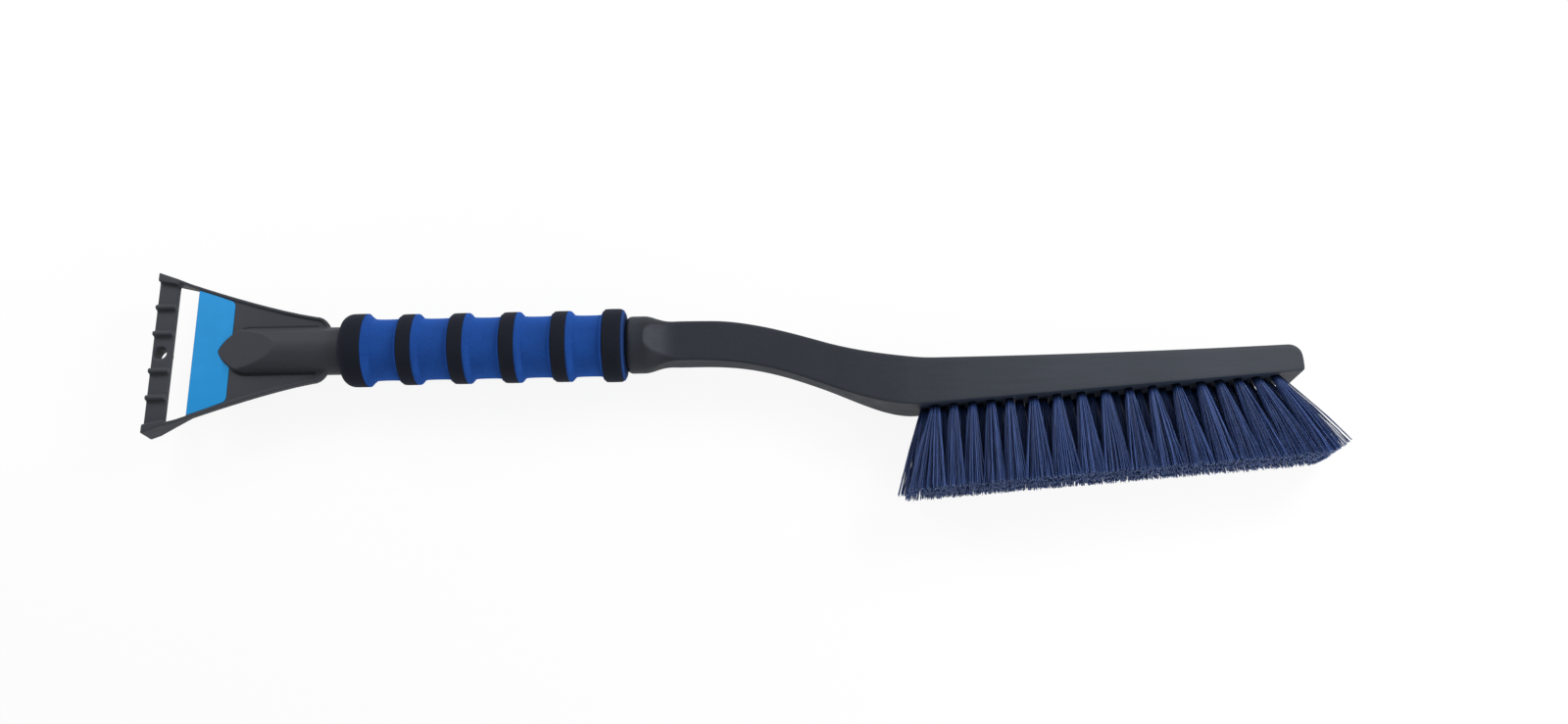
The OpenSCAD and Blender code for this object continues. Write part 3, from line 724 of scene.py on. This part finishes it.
# %% Sizes of the body
SHOULDER_LENGTH, RUNOUT, STRAIGHT, WAIST, WIDEN = 9.4, 19.6, 15.2, 40.0, 45.0
NECK_LENGTH, HEEL_ROUND, TOE_ROUND, TOE_EDGE = 139.2, 10.0, 7.0, 1.4
SWEEP_PAST_HEEL, WIDEN_PAST_HEEL, BELLY_LEAD = 20, 8, 13
NECK_HEIGHT, BACK_DROP, BACK_RISE = 21.8, 13.3, 3.4
HEEL_HEIGHT, TOE_HEIGHT, BELLY_POWER = 25.2, 14.8, 1.35
SHOULDER_R, SHOULDER_EDGE = 15.0, 3.4
ROOT_T, WAIST_T, BLOCK_T = 14.6, 12.0, 25.0
UPPER_EDGE, LOWER_EDGE = 2.6, 1.2
CORE_R, SPIGOT_R, SPIGOT_LENGTH, SPIGOT_EDGE = 11.0, 9.5, 32.2, 0.6

heel = grip_end + NECK_LENGTH
runout_start = grip_end + SHOULDER_LENGTH
runout_end = runout_start + RUNOUT
sweep_start, sweep_end = runout_end + STRAIGHT, heel + SWEEP_PAST_HEEL
belly_start, deck_start = sweep_start - BELLY_LEAD, heel + HEEL_ROUND
widen_end = heel + WIDEN_PAST_HEEL
heel_y = -BACK_DROP - HEEL_HEIGHT
toe_y = -BACK_DROP + BACK_RISE - TOE_HEIGHT
print(f"heel at {heel:.1f}, deck from {deck_start:.1f} mm")


# %% Going smoothly from one size to the next
def clamp(t):
    """t, kept between 0 and 1."""
    return min(1.0, max(0.0, t))


def ease(t):
    """Runs from 0 to 1 as t does, starting and ending gently."""
    t = clamp(t)
    return t * t * (3 - 2 * t)


def mix(a, b, t):
    """The value a share t of the way from a to b."""
    return a + (b - a) * t


print("a quarter of the way, eased:", round(ease(0.25), 2))


# %% Outline of the neck and block
def back_y(x):
    """The upper edge, as the broom is held."""
    past = max(0.0, x - toe_end + TOE_ROUND)
    level = mix(NECK_HEIGHT / 2, -BACK_DROP, ease((x - sweep_start) / (sweep_end - sweep_start)))
    climb = BACK_RISE * clamp((x - sweep_end) / (toe_end - sweep_end)) ** 2
    return level + climb - TOE_ROUND + math.sqrt(max(0.0, TOE_ROUND ** 2 - past ** 2))


def belly_y(x):
    """The lower edge. Past the heel it is the straight bristle deck."""
    if x < deck_start:
        t = clamp((x - belly_start) / (deck_start - belly_start))
        return mix(-NECK_HEIGHT / 2, heel_y, ease(t ** BELLY_POWER))
    return mix(heel_y, toe_y, (x - deck_start) / (toe_end - deck_start))


def half_thick(x):
    """Half the thickness of the flat neck, and of the block further on."""
    neck = mix(ROOT_T, WAIST_T, ease((x - runout_end) / WAIST))
    return mix(neck, BLOCK_T, ease((x - widen_end + WIDEN) / WIDEN)) / 2


def shoulder_r(x):
    """Radius of the round shoulder, which starts with a rounded edge."""
    t = clamp((x - grip_end) / SHOULDER_EDGE)
    swell = mix(SHOULDER_R, NECK_HEIGHT / 2, ease((x - runout_start) / RUNOUT))
    return swell - SHOULDER_EDGE * (1 - math.sqrt(1 - (1 - t) ** 2))


print(f"block {back_y(deck_start) - belly_y(deck_start):.1f} mm deep where the deck starts")

# %% Quarters of a section
SIDE_STEPS = (0.0, 0.3, 0.55, 0.75, 0.9)
CAP_STEPS = (0.9, 0.6, 0.3)
CORNER = 8
ARC_END = math.radians(84)


def round_quarter(r, flat_z):
    """A quarter of a round section whose side is cut flat at height flat_z."""
    a0 = math.acos(min(0.995, flat_z / r))
    side = [(s * r * math.sin(a0), r * math.cos(a0)) for s in SIDE_STEPS]
    arc = [mix(a0, ARC_END, k / CORNER) for k in range(CORNER + 1)]
    end = r * math.cos(arc[-1])
    cap = [(math.sqrt(r * r - (s * end) ** 2), s * end) for s in CAP_STEPS]
    return side + [(r * math.sin(a), r * math.cos(a)) for a in arc] + cap


def flat_quarter(half_y, half_z, edge):
    """A quarter of a rounded rectangle."""
    side = [(s * (half_y - edge), half_z) for s in SIDE_STEPS]
    arc = [math.pi / 2 * k / CORNER for k in range(CORNER + 1)]
    corner = [(half_y - edge + edge * math.sin(a), half_z - edge + edge * math.cos(a))
              for a in arc]
    return side + corner + [(half_y, s * (half_z - edge)) for s in CAP_STEPS]


print("points in a quarter:", len(SIDE_STEPS) + CORNER + 1 + len(CAP_STEPS))


# %% One closed section
def whole_section(x, y, upper, lower):
    """Joins two upper and two lower quarters into a closed ring of points."""
    upper, lower = np.array(upper), np.array(lower)
    parts = [upper * (1, 1), (upper * (1, -1))[::-1],
             (lower * (-1, -1))[1:], (lower * (-1, 1))[::-1][:-1]]
    ring = np.concatenate(parts) + (y, 0)
    return np.column_stack([np.full(len(ring), x), ring])


def body_section(x):
    """The brush's section at x: round at the shoulder, flat-sided further on."""
    y = (back_y(x) + belly_y(x)) / 2
    half_y = (back_y(x) - belly_y(x)) / 2
    run = (x - runout_start) / RUNOUT
    ring = np.array(round_quarter(shoulder_r(x), mix(SHOULDER_R, ROOT_T / 2, clamp(run))))
    quarters = []
    for edge in (UPPER_EDGE, LOWER_EDGE):
        flat = np.array(flat_quarter(half_y, half_thick(x), edge))
        quarters.append(mix(ring, flat, ease(run)))
    section = whole_section(x, y, *quarters)
    past = clamp((x - toe_end + TOE_EDGE) / TOE_EDGE)
    pull = TOE_EDGE * (1 - math.sqrt(1 - past * past))
    middle = np.array([x, y, 0])
    reach = section - middle
    return middle + np.sign(reach) * np.maximum(np.abs(reach) - pull, 0)


def core_section(x, r):
    """The round core under the grip."""
    return whole_section(x, 0, round_quarter(r, r), round_quarter(r, r))


print("points in a section:", len(body_section(heel)))


# %% Stations along the body
def spaced(a, b, n):
    """n even steps from a up to, but without, b."""
    return [mix(a, b, k / n) for k in range(n)]


stations = [grip_end + SHOULDER_EDGE * (1 - math.cos(math.radians(a))) for a in range(0, 90, 15)]
for start, end, steps in ((grip_end + SHOULDER_EDGE, runout_start, 8),
                          (runout_start, runout_end, 30),
                          (runout_end, sweep_end, 70),
                          (sweep_end, toe_end - TOE_ROUND, 60)):
    stations += spaced(start, end, steps)
stations += [toe_end - TOE_ROUND * (1 - math.sin(math.radians(a))) for a in range(0, 91, 5)]
print("stations:", len(stations))

# %% Skin the body
BODY_CREASE = 38
core_back, core_front = grip_start - SPIGOT_LENGTH, grip_start
sections = [core_section(core_back, SPIGOT_R - SPIGOT_EDGE),
            core_section(core_back + SPIGOT_EDGE, SPIGOT_R),
            core_section(core_front - 0.1, SPIGOT_R), core_section(core_front + 0.2, CORE_R),
            core_section(grip_end - 0.1, CORE_R)]
sections += [body_section(x) for x in stations]
size = len(sections[0])
total = len(sections) * size
body_faces = ring_faces(len(sections), size)
body_faces += [tuple(range(size)), tuple(range(total - 1, total - size - 1, -1))]
body = make_piece("neck_and_block", np.concatenate(sections), body_faces, brush_plastic,
                  ["brush_body"], sharp=BODY_CREASE)
print("body sections:", len(sections), "of", size, "points")

# %% [markdown]
# ## Painted shade and highlight on the brush
# The deck between the tufts is painted darker, as painted shade under the tufts. Behind the
# grip the thumb rests on a sloping facet of the shoulder. The facet is painted paler, as a
# painted highlight, and the shoulder round it is painted darker, as painted shade in the
# valley beside the facet. An image could show that, but it would need the mesh laid out
# flat. It is simpler to write a number on each point of the mesh, which the plastic's finish
# reads by its name.

# %% Mark the deck
DECK_MARGIN, DECK_SKIN = 1.5, 0.3
x, y, z = on_broom([v.co for v in body.data.vertices]).T
anchor_x = solid_points("tuft_anchors")[:, 0]
over_tufts = (x > anchor_x.min() - DECK_MARGIN) & (x < anchor_x.max() + DECK_MARGIN)
on_deck = over_tufts & (np.abs(y - np.array([belly_y(a) for a in x])) < DECK_SKIN)
# Painted shade: the deck between the tufts is marked to be painted darker.
put_mark(body, "deck_shade", on_deck)
print("points on the grimy deck:", on_deck.sum())

# %% Mark the thumb facet
RIM_SHADE_SHARE, FACET_HIGHLIGHT_SHARE = 0.6, 0.2
FACET_SKIN = 0.15
runout = np.clip((x - runout_start) / RUNOUT, 0, 1)
facet_z = np.array([mix(mix(SHOULDER_R, ROOT_T / 2, t), half_thick(a), ease(t))
                    for a, t in zip(x, runout)])
facet = (x > runout_start) & (np.abs(z) > facet_z - FACET_SKIN)
lengthwise = rise(x, grip_end + 3, runout_start + 1) * (1 - rise(runout, 0.4, 0.9))
upwards = rise(y, -0.8 * SHOULDER_R, -0.35 * SHOULDER_R)
# Painted shade: the shoulder's top round the facet is marked to be painted darker.
put_mark(body, "facet_rim_shade", RIM_SHADE_SHARE * (lengthwise * upwards * ~facet))
# Painted highlight: the facet is marked to be painted paler.
put_mark(body, "facet_highlight", FACET_HIGHLIGHT_SHARE * facet * (1 - rise(runout, 0.1, 0.9)))
print("points on the facet and its run-out:", facet.sum())

# %% [markdown]
# ## Foam grip
# The grip is a stack of foam layers, glued and then turned to shape on a lathe. Turning
# is a revolve, so each layer is made that way. We read the solid's outline, round its
# corners the way soft foam does, and leave a hair-wide seam between layers.

# %% Outline of a foam layer
SEAM_R = 0.35
SEAM_STEPS = 5
SMOOTH_CUTS = 3


def outline_of(node):
    """The outer outline of a foam solid, as rows of distance along the grip and radius."""
    points = solid_points(node)
    r = np.hypot(points[:, 1], points[:, 2])
    rows = {}
    for x, radius in zip(points[:, 0], r):
        key = round(x, 2)
        rows[key] = max(rows.get(key, 0), radius)
    return np.array(sorted(rows.items())), r.min()


def cut_corners(line, times):
    """Rounds a line by cutting each corner at a quarter of its sides, again and again."""
    for _ in range(times):
        a, b = line[:-1], line[1:]
        cut = np.stack([a * 0.75 + b * 0.25, a * 0.25 + b * 0.75], 1).reshape(-1, 2)
        line = np.concatenate([line[:1], cut, line[-1:]])
    return line


def foam_outline(node):
    """A softened outline whose two ends roll in to the seams, and the bore's radius."""
    line, bore = outline_of(node)
    line = cut_corners(line, SMOOTH_CUTS)
    first, last = line[0], line[-1]
    inside = line[(line[:, 0] > first[0] + SEAM_R) & (line[:, 0] < last[0] - SEAM_R)]
    lead = [(first[0] + SEAM_R * (1 - math.sin(a)), first[1] - SEAM_R * (1 - math.cos(a)))
            for a in np.linspace(math.pi / 2, 0, SEAM_STEPS)]
    tail = [(last[0] - SEAM_R * (1 - math.sin(a)), last[1] - SEAM_R * (1 - math.cos(a)))
            for a in np.linspace(0, math.pi / 2, SEAM_STEPS)]
    return np.concatenate([lead, inside, tail]), bore


print("outline of a sleeve:", len(foam_outline("grip_sleeve_1")[0]), "points")

# %% Turn a foam layer
TURNS = 96
FOAM_CREASE = 50


def foam_layer(node, material):
    """A foam layer, turned round the grip's middle line."""
    line, bore = foam_outline(node)
    inner = [(line[-1, 0], bore), (line[0, 0], bore)]
    loop = np.concatenate([line, inner])
    rings = []
    for a in np.arange(TURNS) * 2 * math.pi / TURNS:
        rings.append(np.column_stack([loop[:, 0], loop[:, 1] * math.sin(a),
                                      loop[:, 1] * math.cos(a)]))
    piece = make_piece("foam_" + node, np.concatenate(rings),
                       ring_faces(TURNS, len(loop), closed=True), material, [node],
                       sharp=FOAM_CREASE)
    return piece


print("a layer is turned in", TURNS, "steps")

# %% Stack the grip
black_nodes = ["front_end_ring", "rear_end_ring"] + [f"grip_ring_{i}" for i in range(1, 5)]
blue_nodes = [f"grip_sleeve_{i}" for i in range(1, 6)]
for node in black_nodes:
    foam_layer(node, black_foam)
for node in blue_nodes:
    foam_layer(node, blue_foam)
foam_layer("grip_end_disc", disc_foam)
print("foam layers:", len(black_nodes) + len(blue_nodes) + 1)

# %% [markdown]
# ## Where the tufts stand
# Each tuft is a bundle of filament folded over a wire anchor at the bottom of its hole.
# So the anchors tell us where every tuft starts, and their long line gives the slope of
# the deck. The solids' own tips tell us where each tuft ends and how far it fans out.
# Neighbours overlap a little at their tips, so that no gap opens along the trimmed edge.
# At the toe the outermost strands lean out most.

# %% Deck frame from the anchors
ANCHOR_TO_DECK = 8.5
GROUPS = 17
wire = solid_points("tuft_anchors")
middle = wire.mean(0)
spread = np.linalg.svd(wire[:, :2] - middle[:2], full_matrices=False)[2][0]
spread = spread * math.copysign(1, spread[0])
normal = np.array([-spread[1], spread[0]])
deck_origin = middle[:2] - normal * ANCHOR_TO_DECK


def to_deck(points):
    """Points on the broom as u along the deck, v into the block and w across it."""
    flat = points[:, :2] - deck_origin
    return np.column_stack([flat @ spread, flat @ normal, points[:, 2]])


def off_deck(points):
    """The way back, from the deck's frame to the broom."""
    points = np.asarray(points, float)
    flat = deck_origin + points[:, :1] * spread + points[:, 1:2] * normal
    return np.column_stack([flat, points[:, 2]])


print(f"deck slope {math.degrees(math.atan2(spread[1], spread[0])):.2f} degrees")

# %% Tuft roots
ROWS = (-1, 0, 1)
ANCHOR_HALF, ROW_BAND, TUFT_GAP = 2.0, 2.2, 2
deck_wire = to_deck(wire)
row_pitch = deck_wire[:, 2].max() - ANCHOR_HALF


def tuft_roots(row):
    """Where the tufts of a row stand along the deck."""
    u = np.sort(deck_wire[np.abs(deck_wire[:, 2] - row * row_pitch) < ROW_BAND, 0])
    groups = np.split(u, np.where(np.diff(u) > TUFT_GAP)[0] + 1)
    return [(g.min() + g.max()) / 2 for g in groups]


roots = {row: tuft_roots(row) for row in ROWS}
print("tufts in each row:", [len(r) for r in roots.values()])

# %% Tuft tips
TIP_PITCH = 10.5
TIP_OVERLAP, TOE_FLARE = 1.0, 4.0


def tip_reach(tips, row):
    """The lowest, middle and highest u and w of a row's tips."""
    band = tips[np.abs(tips[:, 2] - row * TIP_PITCH) < TIP_PITCH / 2][:, [0, 2]]
    return band.min(0), np.median(band, 0), band.max(0)


solid_tufts = [to_deck(solid_points(f"bristle_tufts_{i}")) for i in range(1, GROUPS + 1)]
trim_line = min(points[:, 1].min() for points in solid_tufts)
tips_of = [points[points[:, 1] < trim_line / 2] for points in solid_tufts]
reach_of = {row: [tip_reach(tips, row) for tips in tips_of] for row in ROWS}
for reaches in reach_of.values():
    for before, after in zip(reaches, reaches[1:]):
        seam = (before[2][0] + after[0][0]) / 2
        before[2][0] = max(before[2][0], seam + TIP_OVERLAP / 2)
        after[0][0] = min(after[0][0], seam - TIP_OVERLAP / 2)
    reaches[-1][2][0] += TOE_FLARE
print(f"longest strands reach {-trim_line:.1f} mm below the deck")

# %% [markdown]
# ## Filling a tuft
# A hole four millimetres wide holds over a hundred strands. They leave it packed together
# and straight, then bow outwards and fan to the tips. Each strand here is a thin tapered
# tube with a slight wave. We spread the roots evenly over the hole, map them on the
# tuft's spread at the tips, and trim every tip near one plane, as a shear would. A tuft
# that fans out wide gets more strands. Hair particles could grow them too, but real tubes
# are trimmed and measured like any other mesh.

# %% Spread the strands of a tuft
DENSE_SHARE = 0.6
TOE_POWER = 2.2
SQUARING = 0.85


def disc_points(n):
    """n points spread evenly over a unit disc, as seeds sit in a sunflower."""
    k = np.arange(n) + 0.5
    r = np.sqrt(k / n)
    a = k * math.pi * (3 - math.sqrt(5))
    return np.column_stack([r * np.cos(a), r * np.sin(a)])


def squared(loose):
    """Places on a unit disc, pulled towards a square so that neighbouring fans close up."""
    length = np.linalg.norm(loose, axis=1, keepdims=True)
    loose = loose / np.maximum(length, 1)
    widest = np.maximum(np.abs(loose).max(1, keepdims=True), 0.01)
    return loose * mix(1, np.linalg.norm(loose, axis=1, keepdims=True) / widest, SQUARING)


def fan_out(loose, reach):
    """Tip places: dense within the tuft's nearer side, thinning out towards its far side."""
    low, centre, high = reach
    near = np.minimum(high - centre, centre - low)
    stray = np.where(loose > 0, high - centre, centre - low) - near
    away = np.abs(loose) * near
    outer = np.clip((np.abs(loose) - DENSE_SHARE) / (1 - DENSE_SHARE), 0, 1)
    away += stray * np.where(loose > 0, outer ** TOE_POWER, np.abs(loose))
    return centre + np.sign(loose) * away


print(f"the outermost of a hundred seeds lies at {np.abs(disc_points(100)).max():.2f}")

# %% Grow the strands of a tuft
STRANDS = 112
USUAL_SPREAD = 12.5
RING_PLACES = np.append(np.linspace(0, 0.985, 7), 1)
ROOT_R, ROOT_SUNK = 1.85, 1.2
ROOT_JITTER, TIP_JITTER, TRIM_JITTER = 0.05, 0.13, 0.6
BOW, WAVE, WAVES_MIN, WAVES_MAX = 0.03, 0.2, 1.2, 2.6
LONGEST = 1.11
chance = np.random.default_rng(417)


def tuft_strands(root_u, row, reach, trim):
    """Middle lines of a tuft's strands, as an array of strands, rings and u, v, w."""
    count = round(STRANDS * max(1, (reach[2][0] - reach[0][0]) / USUAL_SPREAD))
    seeds = disc_points(count) + chance.normal(0, ROOT_JITTER, (count, 2))
    root = np.column_stack([root_u + seeds[:, 0] * ROOT_R,
                            np.full(count, ROOT_SUNK),
                            row * row_pitch + seeds[:, 1] * ROOT_R])
    end = fan_out(squared(seeds + chance.normal(0, TIP_JITTER, (count, 2))), reach)
    ragged = np.abs(chance.normal(0, TRIM_JITTER, count))
    way = np.column_stack([end[:, 0], trim + ragged, end[:, 1]]) - root
    far = np.linalg.norm(way, axis=1, keepdims=True)
    tip = root + way * np.minimum(1, LONGEST * abs(trim_line) / far)
    t = RING_PLACES[None, :, None]
    bow = t + BOW * np.sin(np.pi * t)
    line = root[:, None, :] + (tip - root)[:, None, :] * np.concatenate(
        [bow, t, bow], axis=2)
    phase = chance.uniform(0, 2 * math.pi, (count, 1, 2))
    turns = chance.uniform(WAVES_MIN, WAVES_MAX, (count, 1, 1))
    sway = WAVE * np.sin(2 * math.pi * turns * t + phase) * np.sin(np.pi * t * 0.5) ** 2
    line[:, :, [0, 2]] += sway
    return line


print("strands in a usual tuft:", STRANDS)

# %% Skin the strands
RINGS = len(RING_PLACES)
SIDES = 4
STRAND_R = 0.22
TAPER = ([0, 0.7, 1], [1, 1, 0.85])


def strand_faces(count):
    """The sides and both ends of count strands."""
    faces = []
    for s in range(count):
        base = s * RINGS * SIDES
        for ring in range(RINGS - 1):
            a = base + ring * SIDES
            for k in range(SIDES):
                n = (k + 1) % SIDES
                faces.append((a + k, a + n, a + SIDES + n, a + SIDES + k))
        last = base + (RINGS - 1) * SIDES
        faces.append(tuple(last + k for k in range(SIDES)))
        faces.append(tuple(base + k for k in reversed(range(SIDES))))
    return faces


def strand_points(lines):
    """Tapered tubes round the strands' middle lines."""
    turn = np.arange(SIDES) * 2 * math.pi / SIDES
    taper = np.interp(RING_PLACES, *TAPER)[None, :, None]
    points = np.repeat(lines[:, :, None, :], SIDES, axis=2)
    points[..., 0] += STRAND_R * np.cos(turn) * taper
    points[..., 2] += STRAND_R * np.sin(turn) * taper
    return points.reshape(-1, 3)


print("faces of one strand:", len(strand_faces(1)))

# %% Mark the strands
TONE_POWER = 1.5


def strand_marks(lines):
    """Tone, cut end and distance from the root, for every point of the tubes."""
    count = len(lines)
    tone = np.repeat(chance.uniform(0, 1, count) ** TONE_POWER, RINGS * SIDES)
    end = np.tile(np.repeat([0.0] * (RINGS - 1) + [1.0], SIDES), count)
    length = np.linalg.norm(lines[:, -1] - lines[:, 0], axis=1)
    from_root = np.repeat((length[:, None] * RING_PLACES).ravel(), SIDES)
    return {"strand_tone": tone, "cut_end": end, "from_root": from_root}


print("each point of a strand will carry its tone, its end and its distance from the root")

# %% Grow all groups
TRIM_MARGIN = 0.1
strand_total = 0
for i, tips in enumerate(tips_of, 1):
    trim = tips[:, 1].min() + TRIM_MARGIN
    lines = np.concatenate([tuft_strands(roots[row][i - 1], row, reach_of[row][i - 1], trim)
                            for row in ROWS])
    group = make_piece(f"bristle_group_{i}", off_deck(strand_points(lines)),
                       strand_faces(len(lines)), filament, [f"bristle_tufts_{i}"])
    for name, values in strand_marks(lines).items():
        put_mark(group, name, values)
    strand_total += len(lines)
print("strands grown:", strand_total)

# %% Write the sizes and finish
dressed_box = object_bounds()
for name, box in (("solids", cad_box), ("dressed", dressed_box)):
    print(name, [round((box[1][k] - box[0][k]) / MM, 1) for k in range(3)])
